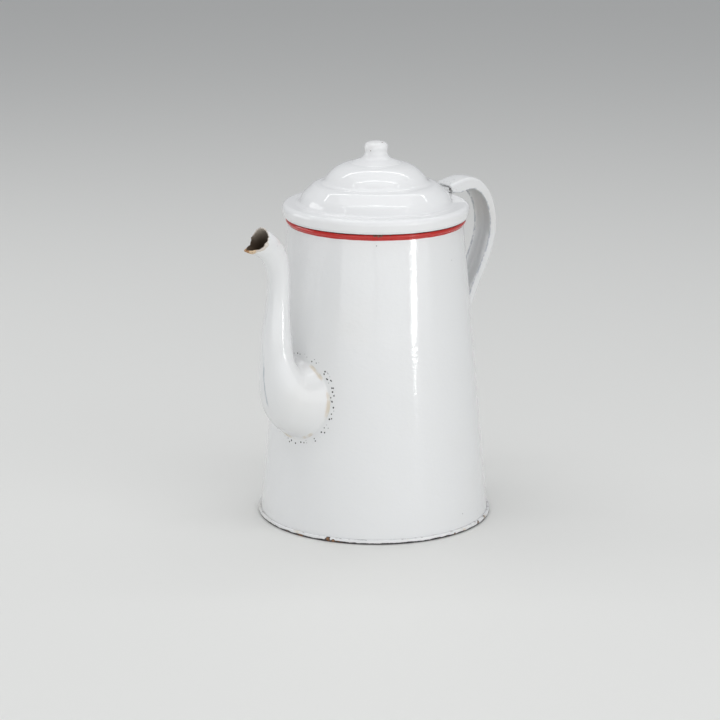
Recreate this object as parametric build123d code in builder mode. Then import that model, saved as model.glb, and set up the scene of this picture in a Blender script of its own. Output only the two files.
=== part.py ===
# Enamelled sheet-steel coffee pot: a tapering can with a folded foot, a rolled rim over a wire,
# a gooseneck spout welded up from two pressed halves, a hollow channel handle, and a domed lid
# that swings on a pin through the handle's upper end.
#
# Millimetres, +Z up. The origin is on the pot's axis in the plane it stands on.
# The spout points along -X and the handle along +X.

from build123d import *
from math import cos, radians, sin, sqrt
import os

# Driving dimensions of the can
sheet = 0.9
seam_gap = 0.12
foot_radius = 75.0
foot_rise = 4.0
foot_step = 1.7
wall_rim_radius = 55.35
rim_height = 191.8
bead_radius = 1.65
wire_radius = 0.65
wire_gap = 0.1
curl_gap = 0.35
curl_gap_angle = -62.0

# Driving dimensions of the strainer punched through the wall behind the spout
strainer_height = 86.0
strainer_hole_radius = 2.2
strainer_pitch = 7.5

# Driving dimensions of the spout: each station is a ring given by the point nearest the can and
# the point furthest from it, both as distance from the axis and height, and the ring's half width
spout_sheet = 1.0
spout_stations = [
    (56.0, 114.5, 61.3, 57.5, 32.5),
    (61.5, 112.5, 66.6, 59.0, 29.0),
    (65.0, 110.8, 70.4, 62.2, 26.0),
    (66.8, 109.8, 74.6, 65.5, 23.6),
    (67.9, 109.8, 79.6, 70.0, 21.8),
    (68.6, 110.5, 84.3, 77.5, 19.6),
    (69.2, 111.9, 87.8, 87.5, 17.0),
    (69.7, 114.5, 89.9, 100.0, 14.2),
    (70.1, 119.5, 90.1, 113.5, 11.8),
    (70.6, 128.5, 89.0, 127.5, 9.6),
    (71.0, 142.0, 86.7, 142.5, 7.9),
    (70.9, 160.0, 84.8, 160.5, 7.0),
    (72.7, 178.0, 86.7, 172.4, 7.4),
    (80.3, 190.8, 92.0, 179.2, 8.2),
    (90.6, 198.3, 99.2, 182.6, 8.9),
    (102.0, 204.4, 109.8, 187.6, 9.2),
]
mouth_top = (90.3, 197.0)
mouth_heel = (92.6, 191.0)
lip_tip = (103.6, 186.6)
mouth_cut = 30.0

# Driving dimensions of the handle: the line along the middle of its back, from the lid end
# over the top and down into the wall, as distances out and up from the hinge pin
handle_line = [
    (-1.9, 2.4),
    (7.7, 5.3),
    (17.7, 6.1),
    (28.3, 0.1),
    (36.9, -12.5),
    (39.9, -29.5),
    (35.5, -47.0),
    (26.3, -65.0),
    (17.9, -83.5),
    (11.3, -100.0),
    (0.7, -127.5),
]
handle_sheet = 1.0
handle_end_width = 17.0
handle_width = 14.2
handle_taper_length = 30.0
handle_flare = 2.4
handle_depth = 6.0
handle_corner = 3.0
handle_stations = 26

# Driving dimensions of the lid. Its section is a chain of arcs and straights, and each slope is
# the angle that it falls at, in degrees below the level
lid_rise = 26.5
crown_radius = 101.0
crown_slope = 11.4
dome_bend_radius = 16.0
dome_slope = 73.0
step_radius = 1.8
shoulder_radius = 38.2
shoulder_bend_radius = 4.0
shoulder_slope = 47.0
shoulder_fall = 6.6
lower_bend_radius = 5.0
lower_slope = 78.0
foot_bend_radius = 2.4
brim_rise = 10.7
brim_overhang = 3.85
brim_drop = 8.3
brim_bend_radius = 3.2
brim_slope = 99.0
lid_seat_gap = 0.3
collar_clearance = 1.4
collar_depth = 6.6
collar_bend_radius = 1.2

# Driving dimensions of the knob, drawn in the same way
knob_rise = 13.0
knob_crown_radius = 14.0
knob_crown_slope = 22.3
knob_bulb_radius = 3.4
knob_bulb_slope = 115.0
knob_neck_radius = 4.0
knob_skirt_slope = 28.0
knob_skirt_length = 2.8
knob_edge_radius = 1.2
knob_gap = 0.2

# Driving dimensions of the hinge
pin_radius = 0.9
pin_fit = 0.03
loop_fit = 0.06
loop_wall = 0.6
loop_half_width = 5.0
loop_foot = 1.5
pin_inset = 0.9
pin_rise = 2.0
swing_clearance = 0.4
bracket_sheet = 1.2
bracket_half_width = 4.0
bracket_foot_drop = 36.5
bracket_bend_drop = 18.5
bracket_step = 5.5
bracket_clearance = 1.25
bracket_length = 5.55
bracket_gap = 0.3

# Places that follow from the driving dimensions
wall_foot_radius = foot_radius - foot_step
brim_height = rim_height + brim_rise
brim_radius = wall_rim_radius + brim_overhang
brim_lip_height = brim_height - brim_drop
lid_top = brim_height + lid_rise
knob_top = lid_top + knob_rise
pin_x = brim_radius - pin_inset
pin_height = brim_height + pin_rise
bracket_foot = brim_height - bracket_foot_drop
bracket_bend = brim_height - bracket_bend_drop
bracket_x = brim_radius + bracket_clearance
bracket_reach = bracket_x + bracket_length

os.makedirs("parts", exist_ok=True)


def wall_radius(z):
    """Outer radius of the can's wall at a height."""
    slope = (wall_rim_radius - wall_foot_radius) / (rim_height - foot_rise)
    return wall_foot_radius + slope * (z - foot_rise)


def save(name, piece):
    """Labels a finished piece and writes it."""
    piece.part.label = name
    export_step(piece.part, f"parts/{name}.step")


# Can body: the wall is one rolled and welded cone, turned out at the foot into a flange that
# the bottom grips, and curled outwards over a wire at the rim
flange_bottom = sheet + seam_gap
flange_top = flange_bottom + sheet
flange_radius = foot_radius - sheet - seam_gap
curl_start = rim_height - bead_radius + sheet / 2
bead_bore = wire_radius + wire_gap

with BuildPart() as body_shell:
    with BuildSketch(Plane.XZ):
        with BuildLine():
            Polyline(
                (wall_radius(flange_bottom) - sheet, flange_bottom),
                (flange_radius, flange_bottom),
                (flange_radius, flange_top),
                (wall_radius(flange_top), flange_top),
                (wall_radius(curl_start), curl_start),
                (wall_radius(curl_start) - sheet, curl_start),
                close=True,
            )
        make_face()
        with Locations((wall_rim_radius, rim_height)):
            Circle(bead_radius)
            Circle(bead_bore, mode=Mode.SUBTRACT)
            Rectangle(
                2 * bead_radius,
                curl_gap,
                rotation=curl_gap_angle,
                align=(Align.MIN, Align.CENTER),
                mode=Mode.SUBTRACT,
            )
    revolve(axis=Axis.Z)
    # Strainer: a middle hole and two rings of holes
    strainer_x = wall_radius(strainer_height)
    with BuildSketch(Plane(origin=(-strainer_x, 0, strainer_height), x_dir=(0, 1, 0), z_dir=(-1, 0, 0))):
        Circle(strainer_hole_radius)
        with PolarLocations(strainer_pitch, 6):
            Circle(strainer_hole_radius)
        with PolarLocations(2 * strainer_pitch, 12):
            Circle(strainer_hole_radius)
    extrude(amount=6 * sheet, both=True, mode=Mode.SUBTRACT)
save("body_shell", body_shell)

# Rim wire: a round steel wire that stiffens the rim, closed inside the curl
with BuildPart() as rim_wire:
    with BuildSketch(Plane.XZ):
        with Locations((wall_rim_radius, rim_height)):
            Circle(wire_radius)
    revolve(axis=Axis.Z)
save("rim_wire", rim_wire)

# Bottom: a disc set up inside the wall, whose edge is folded round the wall's flange into the
# ring that the pot stands on
skirt_radius = wall_radius(foot_rise) - sheet - seam_gap
fold_bottom = flange_top + seam_gap
fold_top = fold_bottom + sheet

with BuildPart() as bottom_plate:
    with BuildSketch(Plane.XZ) as section:
        with BuildLine():
            Polyline(
                (0, foot_rise - sheet),
                (skirt_radius - sheet, foot_rise - sheet),
                (skirt_radius - sheet, 0),
                (foot_radius, 0),
                (foot_radius, fold_top),
                (wall_radius(fold_bottom) + seam_gap, fold_top),
                (wall_radius(fold_bottom) + seam_gap, fold_bottom),
                (foot_radius - sheet, fold_bottom),
                (foot_radius - sheet, sheet),
                (skirt_radius, sheet),
                (skirt_radius, foot_rise),
                (0, foot_rise),
                close=True,
            )
        make_face()
        fillet(section.vertices().group_by(Axis.X)[-1], radius=sheet / 2)
    revolve(axis=Axis.Z)
save("bottom_plate", bottom_plate)


# Spout: two pressed halves welded on the middle plane, bulging at the root, where the edge is
# turned out and welded to the wall, and cut away at the mouth to a pouring lip
def spout_ring(station, inset):
    """One ring of the spout, an ellipse drawn in four quarters and drawn in by an inset."""
    near_x, near_z, far_x, far_z, half_width = station
    across = Vector(near_x - far_x, 0, far_z - near_z)
    middle = (-(near_x + far_x) / 2, 0, (near_z + far_z) / 2)
    half_depth = across.length / 2
    with BuildSketch(Plane(origin=middle, x_dir=across, z_dir=Vector(0, 1, 0).cross(across))) as ring:
        with BuildLine():
            for quarter in range(4):
                EllipticalCenterArc(
                    (0, 0),
                    half_depth - inset,
                    half_width - inset,
                    start_angle=90 * quarter,
                    arc_size=90,
                )
        make_face()
    return ring.sketch


with BuildPart() as spout:
    loft([spout_ring(station, 0) for station in spout_stations])
    loft([spout_ring(station, spout_sheet) for station in spout_stations], mode=Mode.SUBTRACT)
    # The root is cut to the wall
    with BuildSketch(Plane.XZ):
        with BuildLine():
            Polyline(
                (0, 0),
                (wall_radius(0) + seam_gap, 0),
                (wall_radius(rim_height) + seam_gap, rim_height),
                (0, rim_height),
                close=True,
            )
        make_face()
    revolve(axis=Axis.Z, mode=Mode.SUBTRACT)
    # The mouth is cut back to a hood above and a lip below
    with BuildSketch(Plane.XZ):
        with BuildLine():
            cut = Spline(
                (-mouth_top[0], mouth_top[1]),
                (-mouth_heel[0], mouth_heel[1]),
                (-lip_tip[0], lip_tip[1]),
                tangents=((0.1, -1), (-1, -0.15)),
            )
            Polyline(
                cut @ 1,
                (-lip_tip[0], lip_tip[1] - mouth_cut),
                (-lip_tip[0] - mouth_cut, lip_tip[1] - mouth_cut),
                (-lip_tip[0] - mouth_cut, mouth_top[1] + mouth_cut),
                (-mouth_top[0], mouth_top[1] + mouth_cut),
                cut @ 0,
            )
        make_face()
    extrude(amount=mouth_cut, both=True, mode=Mode.SUBTRACT)

    # The seam between the halves
    Box(4 * foot_radius, seam_gap, 3 * rim_height, mode=Mode.SUBTRACT)

spout_halves = spout.part.solids().sort_by(Axis.Y)
for name, solid in (("spout_left_half", spout_halves[0]), ("spout_right_half", spout_halves[-1])):
    with BuildPart() as spout_half:
        add(solid)
    save(name, spout_half)


# Handle: a strap pressed into a channel, open towards the can, a little wider at the lid end.
# Its lower end is cut to the wall and welded, its upper end overhangs the edge of the lid
def channel_section(share):
    """Channel section at a share of the handle's length, with x out from its back."""
    along = handle_path % share
    taper = max(0, 1 - share * handle_path.length / handle_taper_length)
    half = (handle_width + (handle_end_width - handle_width) * taper) / 2
    flat = half - handle_corner
    edge = half + handle_flare / 2
    bend = handle_corner * cos(radians(45))
    inner_bend = (handle_corner - handle_sheet) * cos(radians(45))
    out = Vector(-along.Z, 0, along.X)
    with BuildSketch(Plane(origin=handle_path @ share, x_dir=out, z_dir=along)) as section:
        with BuildLine():
            Line((-handle_depth, -edge), (-handle_corner, -half))
            ThreePointArc((-handle_corner, -half), (bend - handle_corner, -flat - bend), (0, -flat))
            Line((0, -flat), (0, flat))
            ThreePointArc((0, flat), (bend - handle_corner, flat + bend), (-handle_corner, half))
            Polyline(
                (-handle_corner, half),
                (-handle_depth, edge),
                (-handle_depth, edge - handle_sheet),
                (-handle_corner, half - handle_sheet),
            )
            ThreePointArc(
                (-handle_corner, half - handle_sheet),
                (inner_bend - handle_corner, flat + inner_bend),
                (-handle_sheet, flat),
            )
            Line((-handle_sheet, flat), (-handle_sheet, -flat))
            ThreePointArc(
                (-handle_sheet, -flat),
                (inner_bend - handle_corner, -flat - inner_bend),
                (-handle_corner, handle_sheet - half),
            )
            Polyline(
                (-handle_corner, handle_sheet - half),
                (-handle_depth, handle_sheet - edge),
                (-handle_depth, -edge),
            )
        make_face()
    return section.sketch


handle_path = Spline(*[(pin_x + out, 0, pin_height + up) for out, up in handle_line])

with BuildPart() as handle:
    loft([channel_section(step / handle_stations) for step in range(handle_stations + 1)])
    # The lower end is cut to the wall
    with BuildSketch(Plane.XZ):
        with BuildLine():
            Polyline(
                (0, 0),
                (wall_radius(0) + seam_gap, 0),
                (wall_radius(bracket_foot) + seam_gap, bracket_foot),
                (0, bracket_foot),
                close=True,
            )
        make_face()
    revolve(axis=Axis.Z, mode=Mode.SUBTRACT)
    # The cheeks are cut clear of the brim, and rounded about the pin so that the lid can swing
    swing_radius = pin_rise - swing_clearance
    with BuildSketch(Plane.XZ):
        with BuildLine():
            Polyline(
                (0, brim_height + swing_clearance),
                (brim_radius + swing_clearance, brim_height + swing_clearance),
                (brim_radius + swing_clearance, brim_lip_height),
                (0, brim_lip_height),
                close=True,
            )
        make_face()
        with BuildLine():
            Polyline(
                (0, pin_height),
                (pin_x, pin_height),
                (pin_x, brim_lip_height),
                (0, brim_lip_height),
                close=True,
            )
        make_face()
        with Locations((pin_x, pin_height)):
            Circle(swing_radius, mode=Mode.SUBTRACT)
    extrude(amount=handle_end_width, both=True, mode=Mode.SUBTRACT)
    # Nothing stands further forward than the brim's face when the lid is upright
    with BuildSketch(Plane.XZ):
        with Locations((pin_x - swing_radius, pin_height)):
            Rectangle(handle_end_width, handle_end_width, align=(Align.MAX, Align.CENTER))
    extrude(amount=handle_end_width, both=True, mode=Mode.SUBTRACT)
    with BuildSketch(Plane.XZ):
        with Locations((pin_x, pin_height)):
            Circle(pin_radius + pin_fit)
    extrude(amount=handle_end_width, both=True, mode=Mode.SUBTRACT)
save("handle", handle)

# Hinge pin: cut flush with the outside of the handle's cheeks
with BuildPart() as hinge_pin:
    with BuildSketch(Plane.XZ):
        with Locations((pin_x, pin_height)):
            Circle(pin_radius)
    extrude(amount=handle_end_width / 2, both=True)
save("hinge_pin", hinge_pin)


# Handle bracket: a strip welded to the wall below the rim, stepped out behind the brim and
# turned over under the handle's back, which it carries
def back_height(x):
    """Height of the handle's back, near its lid end, at a distance from the axis."""
    (first_out, first_up), (second_out, second_up) = handle_line[:2]
    slope = (second_up - first_up) / (second_out - first_out)
    return pin_height + first_up + slope * (x - pin_x - first_out)


under_back = handle_sheet + bracket_gap

with BuildPart() as handle_bracket:
    with BuildSketch(Plane.XZ):
        with BuildLine():
            face = Polyline(
                (wall_radius(bracket_foot) + seam_gap, bracket_foot),
                (wall_radius(bracket_bend) + seam_gap, bracket_bend),
                (bracket_x, bracket_bend + bracket_step),
                (bracket_x, back_height(bracket_x) - under_back),
                (bracket_reach, back_height(bracket_reach) - under_back),
            )
            offset(face, amount=bracket_sheet, side=Side.RIGHT)
        make_face()
    extrude(amount=bracket_half_width, both=True)
save("handle_bracket", handle_bracket)


# Lid: a two-step dome pressed from one sheet, with a flat brim turned down over the rim
with BuildPart() as lid_shell:
    with BuildSketch(Plane.XZ):
        with BuildLine():
            crown = JernArc((0, lid_top), (1, 0), crown_radius, -crown_slope)
            dome_bend = JernArc(crown @ 1, crown % 1, dome_bend_radius, crown_slope - dome_slope)
            step = JernArc(dome_bend @ 1, dome_bend % 1, step_radius, dome_slope)
            shoulder = Line(step @ 1, (shoulder_radius, (step @ 1).Y))
            bend = JernArc(shoulder @ 1, (1, 0), shoulder_bend_radius, -shoulder_slope)
            slope = Line(bend @ 1, bend @ 1 + (bend % 1) * shoulder_fall)
            drop = JernArc(slope @ 1, slope % 1, lower_bend_radius, shoulder_slope - lower_slope)
            foot_fall = foot_bend_radius * (1 - cos(radians(lower_slope)))
            steep_length = ((drop @ 1).Y - foot_fall - brim_height) / sin(radians(lower_slope))
            steep = Line(drop @ 1, drop @ 1 + (drop % 1) * steep_length)
            foot = JernArc(steep @ 1, steep % 1, foot_bend_radius, lower_slope)
            brim = Line(foot @ 1, (brim_radius - brim_bend_radius, brim_height))
            edge = JernArc(brim @ 1, (1, 0), brim_bend_radius, -brim_slope)
            edge_length = ((edge @ 1).Y - brim_lip_height) / sin(radians(brim_slope))
            lip = Line(edge @ 1, edge @ 1 + (edge % 1) * edge_length)
            offset(amount=sheet, side=Side.RIGHT)
        make_face()
    revolve(axis=Axis.Z)
save("lid_shell", lid_shell)

# Lid collar: a flat ring let into the turned-down brim, which rests on the can's rim, and a
# short collar below it that keeps the lid central
collar_radius = wall_rim_radius - bead_radius - collar_clearance
seat_height = rim_height + bead_radius + lid_seat_gap
ring_radius = (lip @ 1).X - sheet - seam_gap

with BuildPart() as lid_collar:
    with BuildSketch(Plane.XZ):
        with BuildLine():
            face = FilletPolyline(
                (ring_radius, seat_height),
                (collar_radius, seat_height),
                (collar_radius, seat_height - collar_depth),
                radius=collar_bend_radius,
            )
            offset(face, amount=sheet, side=Side.RIGHT)
        make_face()
    revolve(axis=Axis.Z)
save("lid_collar", lid_collar)

# Hinge loop: a strip rolled round the pin and brazed to the back edge of the brim
loop_radius = pin_radius + loop_fit + loop_wall

with BuildPart() as lid_hinge_loop:
    with BuildSketch(Plane.XZ):
        with Locations((pin_x, pin_height)):
            Circle(loop_radius)
        with Locations((pin_x, brim_height + seam_gap)):
            Rectangle(loop_foot, pin_rise - seam_gap, align=(Align.MAX, Align.MIN))
        with Locations((pin_x, pin_height)):
            Circle(pin_radius + loop_fit, mode=Mode.SUBTRACT)
    extrude(amount=loop_half_width, both=True)
save("lid_hinge_loop", lid_hinge_loop)

# Knob: a hollow pressed knob on a flared foot, welded to the top of the dome
with BuildPart() as knob:
    with BuildSketch(Plane.XZ):
        with BuildLine():
            cap = JernArc((0, knob_top), (1, 0), knob_crown_radius, -knob_crown_slope)
            bulb = JernArc(cap @ 1, cap % 1, knob_bulb_radius, knob_crown_slope - knob_bulb_slope)
            neck = JernArc(bulb @ 1, bulb % 1, knob_neck_radius, knob_bulb_slope - knob_skirt_slope)
            skirt = Line(neck @ 1, neck @ 1 + (neck % 1) * knob_skirt_length)
            skirt_edge = JernArc(skirt @ 1, skirt % 1, knob_edge_radius, knob_skirt_slope - 90)
            # The foot stops just above the dome
            skirt_radius = (skirt_edge @ 1).X
            dome_there = lid_top - crown_radius + sqrt(crown_radius**2 - (skirt_radius - sheet) ** 2)
            Line(skirt_edge @ 1, (skirt_radius, dome_there + knob_gap))
            offset(amount=sheet, side=Side.RIGHT)
        make_face()
        with Locations((0, lid_top)):
            Rectangle(foot_radius, foot_radius, align=(Align.MIN, Align.CENTER), mode=Mode.INTERSECT)
    revolve(axis=Axis.Z)
save("knob", knob)
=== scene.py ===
import math

import bmesh
import bpy
import numpy as np
from mathutils import Matrix, Vector


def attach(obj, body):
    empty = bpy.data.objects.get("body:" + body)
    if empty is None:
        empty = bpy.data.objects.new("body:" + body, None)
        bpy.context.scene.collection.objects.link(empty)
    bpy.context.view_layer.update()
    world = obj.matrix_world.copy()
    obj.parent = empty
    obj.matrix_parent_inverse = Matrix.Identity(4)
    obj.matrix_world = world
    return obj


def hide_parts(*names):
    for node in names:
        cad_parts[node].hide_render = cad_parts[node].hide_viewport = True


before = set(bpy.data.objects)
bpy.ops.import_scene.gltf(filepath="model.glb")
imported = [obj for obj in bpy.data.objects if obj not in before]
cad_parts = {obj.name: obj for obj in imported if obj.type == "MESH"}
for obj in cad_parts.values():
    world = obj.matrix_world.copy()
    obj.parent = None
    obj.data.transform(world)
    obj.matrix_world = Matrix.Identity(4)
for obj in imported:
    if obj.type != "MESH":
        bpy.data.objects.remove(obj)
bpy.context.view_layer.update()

mm = 0.001

# Wall of the can: one sheet of steel rolled to a cone and welded, its rim curled outwards over
# a wire. It is coated with glossy white enamel, and the curled rim is enamelled red.
wall_foot, wall_foot_z = 73.3, 4.0
wall_rim, rim_z = 55.35, 191.8
bead = 1.65
sheet = 0.9
wall_colour = (0.735, 0.742, 0.745, 1)
red_colour = (0.49, 0.017, 0.013, 1)
# The next colour is the painted shade in the groove under the lid's brim
gap_shade_colour = (0.060, 0.014, 0.012, 1)
ground_coat = (0.030, 0.026, 0.028, 1)
rust_colour = (0.150, 0.066, 0.028, 1)
bright_rust = (0.30, 0.15, 0.07, 1)
warm_stain = (0.60, 0.52, 0.38, 1)
speck_grey = (0.22, 0.22, 0.23, 1)


def wall_at(z):
    """Outer radius of the wall at a height, in millimetres."""
    return wall_foot + (wall_rim - wall_foot) * (z - wall_foot_z) / (rim_z - wall_foot_z)


def arc(centre, radius, start, end, steps):
    """Points of an arc in a section, from one angle to another in degrees."""
    angles = np.radians(np.linspace(start, end, steps + 1))
    return [(centre[0] + radius * math.cos(a), centre[1] + radius * math.sin(a)) for a in angles]


def straight(start, end, steps):
    """Points along a straight part of a section, both ends included."""
    return [tuple(p) for p in np.linspace(start, end, steps + 1)]


def new_tree(name, inputs):
    """A Geometry Nodes tree with a geometry socket each way and the named inputs."""
    tree = bpy.data.node_groups.new(name, "GeometryNodeTree")
    tree.interface.new_socket("Geometry", in_out="INPUT", socket_type="NodeSocketGeometry")
    for label, kind in inputs:
        tree.interface.new_socket(label, in_out="INPUT", socket_type="NodeSocket" + kind)
    tree.interface.new_socket("Geometry", in_out="OUTPUT", socket_type="NodeSocketGeometry")
    return tree, tree.nodes.new("NodeGroupInput"), tree.nodes.new("NodeGroupOutput")


def wire(tree, node, socket, source):
    """Feeds an input of a node from another socket, or sets it to a plain value."""
    if isinstance(source, bpy.types.NodeSocket):
        tree.links.new(source, node.inputs[socket])
    else:
        node.inputs[socket].default_value = source


def maths(tree, operation, *values):
    """A Math node on sockets or numbers."""
    node = tree.nodes.new("ShaderNodeMath")
    node.operation = operation
    for slot, value in enumerate(values):
        wire(tree, node, slot, value)
    return node.outputs[0]


def times(tree, first, second):
    """The product of two sockets or numbers."""
    return maths(tree, "MULTIPLY", first, second)


def plus(tree, first, second):
    """The sum of two sockets or numbers."""
    return maths(tree, "ADD", first, second)


def minus(tree, first, second):
    """The first socket or number less the second."""
    return maths(tree, "SUBTRACT", first, second)


# A section turned about the pot's axis: every row of a grid takes one point of the section, and
# every column one angle. The surface then gets the slight waves of hand-finished enamel.
turned, given, made = new_tree(
    "turned_section",
    [
        ("Around", "Int"),
        ("Waves", "Float"),
        ("Wave Scale", "Float"),
        ("Seed", "Float"),
        ("Finish", "Material"),
    ],
)
size = turned.nodes.new("GeometryNodeAttributeDomainSize")
grid = turned.nodes.new("GeometryNodeMeshGrid")
index = turned.nodes.new("GeometryNodeInputIndex")
columns = plus(turned, given.outputs["Around"], 1)
row = maths(turned, "FLOOR", maths(turned, "DIVIDE", plus(turned, index.outputs[0], 0.5), columns))
column = minus(turned, index.outputs[0], times(turned, row, columns))
angle = times(turned, maths(turned, "DIVIDE", column, given.outputs["Around"]), math.tau)
pick = turned.nodes.new("GeometryNodeSampleIndex")
pick.data_type = "FLOAT_VECTOR"
where = turned.nodes.new("GeometryNodeInputPosition")
split = turned.nodes.new("ShaderNodeSeparateXYZ")
around = turned.nodes.new("ShaderNodeCombineXYZ")
turned.links.new(given.outputs["Geometry"], size.inputs["Geometry"])
turned.links.new(size.outputs["Point Count"], grid.inputs["Vertices X"])
turned.links.new(columns, grid.inputs["Vertices Y"])
turned.links.new(given.outputs["Geometry"], pick.inputs["Geometry"])
turned.links.new(where.outputs[0], pick.inputs["Value"])
turned.links.new(row, pick.inputs["Index"])
turned.links.new(pick.outputs[0], split.inputs[0])
turned.links.new(times(turned, split.outputs["X"], maths(turned, "COSINE", angle)), around.inputs["X"])
turned.links.new(times(turned, split.outputs["X"], maths(turned, "SINE", angle)), around.inputs["Y"])
turned.links.new(split.outputs["Z"], around.inputs["Z"])
place = turned.nodes.new("GeometryNodeSetPosition")
turned.links.new(grid.outputs["Mesh"], place.inputs["Geometry"])
turned.links.new(around.outputs[0], place.inputs["Position"])
close = turned.nodes.new("GeometryNodeMergeByDistance")
close.inputs["Distance"].default_value = 0.002 * mm
turned.links.new(place.outputs[0], close.inputs["Geometry"])
noise = turned.nodes.new("ShaderNodeTexNoise")
noise.noise_dimensions = "4D"
noise.inputs["Detail"].default_value = 1
turned.links.new(given.outputs["Wave Scale"], noise.inputs["Scale"])
turned.links.new(given.outputs["Seed"], noise.inputs["W"])
shift = turned.nodes.new("ShaderNodeVectorMath")
shift.operation = "SCALE"
outward = turned.nodes.new("ShaderNodeVectorMath")
outward.operation = "NORMALIZE"
level = turned.nodes.new("ShaderNodeVectorMath")
level.operation = "MULTIPLY"
level.inputs[1].default_value = (1, 1, 0)
here = turned.nodes.new("GeometryNodeInputPosition")
turned.links.new(here.outputs[0], level.inputs[0])
turned.links.new(level.outputs[0], outward.inputs[0])
turned.links.new(outward.outputs[0], shift.inputs[0])
swell = times(turned, minus(turned, noise.outputs[0], 0.5), given.outputs["Waves"])
turned.links.new(swell, shift.inputs["Scale"])
wave = turned.nodes.new("GeometryNodeSetPosition")
turned.links.new(close.outputs[0], wave.inputs["Geometry"])
turned.links.new(shift.outputs[0], wave.inputs["Offset"])
real = turned.nodes.new("GeometryNodeRealizeInstances")
finish = turned.nodes.new("GeometryNodeSetMaterial")
turned.links.new(wave.outputs[0], real.inputs[0])
turned.links.new(real.outputs[0], finish.inputs["Geometry"])
turned.links.new(given.outputs["Finish"], finish.inputs["Material"])
turned.links.new(finish.outputs[0], made.inputs["Geometry"])


def baked(name, start, tree, values, crease=40):
    """A piece made by running a start mesh through a tree: plain mesh, shaded smooth up to an angle."""
    host = bpy.data.objects.new(name + "_start", start)
    bpy.context.scene.collection.objects.link(host)
    modifier = host.modifiers.new("made", "NODES")
    modifier.node_group = tree
    sockets = {item.name: item.identifier for item in tree.interface.items_tree if item.in_out == "INPUT"}
    for label, value in values.items():
        modifier[sockets[label]] = value
    bpy.context.view_layer.update()
    result = bpy.data.meshes.new_from_object(host.evaluated_get(bpy.context.evaluated_depsgraph_get()))
    bpy.data.objects.remove(host)
    result.name = name
    piece = bpy.data.objects.new(name, result)
    bpy.context.scene.collection.objects.link(piece)
    tidy_faces(piece, crease)
    return piece


def tidy_faces(piece, crease):
    """Turns the faces of a closed piece outwards and shades them smooth up to an angle in degrees."""
    mesh = bmesh.new()
    mesh.from_mesh(piece.data)
    bmesh.ops.remove_doubles(mesh, verts=mesh.verts, dist=0.001 * mm)
    bmesh.ops.recalc_face_normals(mesh, faces=mesh.faces)
    for face in mesh.faces:
        face.smooth = True
    mesh.to_mesh(piece.data)
    mesh.free()
    piece.data.set_sharp_from_angle(angle=math.radians(crease))


def turned_piece(name, section, material, around=256, waves=0.0, scale=30.0, seed=1.0):
    """A piece of revolution from a closed section, given as radius and height in millimetres."""
    start = bpy.data.meshes.new(name + "_section")
    points = [(r * mm, 0, z * mm) for r, z in section]
    start.from_pydata(points, [(i, i + 1) for i in range(len(points) - 1)], [])
    values = {"Around": around, "Waves": waves * mm, "Wave Scale": scale, "Seed": seed, "Finish": material}
    return baked(name, start, turned, values)


# Shader groups. Uneven gloss: the orange peel and the level ripples that rolling leaves under enamel.
def shader_group(name, inputs, outputs):
    """An empty shader node group with named sockets."""
    tree = bpy.data.node_groups.new(name, "ShaderNodeTree")
    for label, kind, value in inputs:
        socket = tree.interface.new_socket(label, in_out="INPUT", socket_type="NodeSocket" + kind)
        socket.default_value = value
    for label, kind in outputs:
        tree.interface.new_socket(label, in_out="OUTPUT", socket_type="NodeSocket" + kind)
    return tree, tree.nodes.new("NodeGroupInput"), tree.nodes.new("NodeGroupOutput")


def stretched(tree, scale=(1, 1, 1)):
    """Object coordinates in metres, multiplied by a scale for each axis."""
    coordinates = tree.nodes.new("ShaderNodeTexCoord")
    mapping = tree.nodes.new("ShaderNodeMapping")
    mapping.inputs["Scale"].default_value = scale
    tree.links.new(coordinates.outputs["Object"], mapping.inputs["Vector"])
    return mapping.outputs[0]


def noise_of(tree, vector, scale, detail=2.0, roughness=0.5):
    """A Noise Texture on a vector."""
    node = tree.nodes.new("ShaderNodeTexNoise")
    tree.links.new(vector, node.inputs["Vector"])
    node.inputs["Scale"].default_value = scale
    node.inputs["Detail"].default_value = detail
    node.inputs["Roughness"].default_value = roughness
    return node.outputs[0]


def ramp(tree, value, low, high, smooth=True):
    """Maps a value from low to high onto 0 to 1."""
    node = tree.nodes.new("ShaderNodeMapRange")
    node.interpolation_type = "SMOOTHSTEP" if smooth else "LINEAR"
    wire(tree, node, "Value", value)
    wire(tree, node, "From Min", low)
    wire(tree, node, "From Max", high)
    return node.outputs[0]


def blend(tree, share, first, second):
    """A Mix node between two colours."""
    node = tree.nodes.new("ShaderNodeMix")
    node.data_type = "RGBA"
    for slot, value in ((0, share), (6, first), (7, second)):
        wire(tree, node, slot, value)
    return node.outputs[2]


gloss, gloss_in, gloss_out = shader_group(
    "uneven_gloss",
    [("Ripple", "Float", 0.5), ("Peel", "Float", 0.5)],
    [("Height", "Float")],
)
ripples = noise_of(gloss, stretched(gloss, (300, 300, 420)), 1.0, 2.0)
peel = noise_of(gloss, stretched(gloss), 420.0, 1.0)
broad = noise_of(gloss, stretched(gloss), 45.0, 1.0)
height = times(gloss, ripples, gloss_in.outputs["Ripple"])
height = plus(gloss, height, times(gloss, broad, 2.0))
height = plus(gloss, height, times(gloss, peel, gloss_in.outputs["Peel"]))
gloss.links.new(height, gloss_out.inputs["Height"])

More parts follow.
